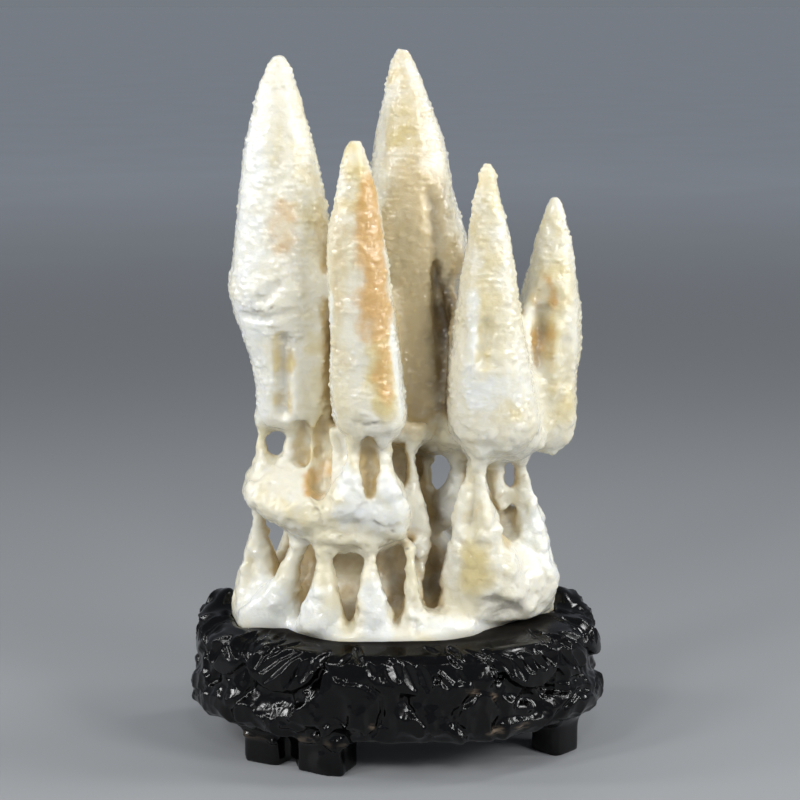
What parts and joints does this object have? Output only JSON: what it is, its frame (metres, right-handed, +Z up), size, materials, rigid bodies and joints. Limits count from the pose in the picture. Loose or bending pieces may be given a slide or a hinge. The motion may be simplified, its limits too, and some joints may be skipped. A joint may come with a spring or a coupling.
{
  "type": "stalactite cluster on a carved stand",
  "caption": "Upright cluster of tapering cave-stone spires on a pierced, toothed base, seated in a low carved dark wooden stand with block feet.",
  "frame": {"origin": "middle of the stand's outline, on the surface that its feet stand on", "axes": "+Z up along the spires, +X to the right along the stand's length, -Y the front with the two-block foot at its left"},
  "size_m": [0.3022, 0.1852, 0.4996],
  "materials": {
    "calcite": "waxy cream-white calcite with tan hollows and an orange streak",
    "lacquered_wood": "black gloss lacquer over carved wood, satin brown on the ledge"
  },
  "bodies": {
    "root": {"stone": "calcite", "stand": "lacquered_wood"}
  },
  "joints": []
}
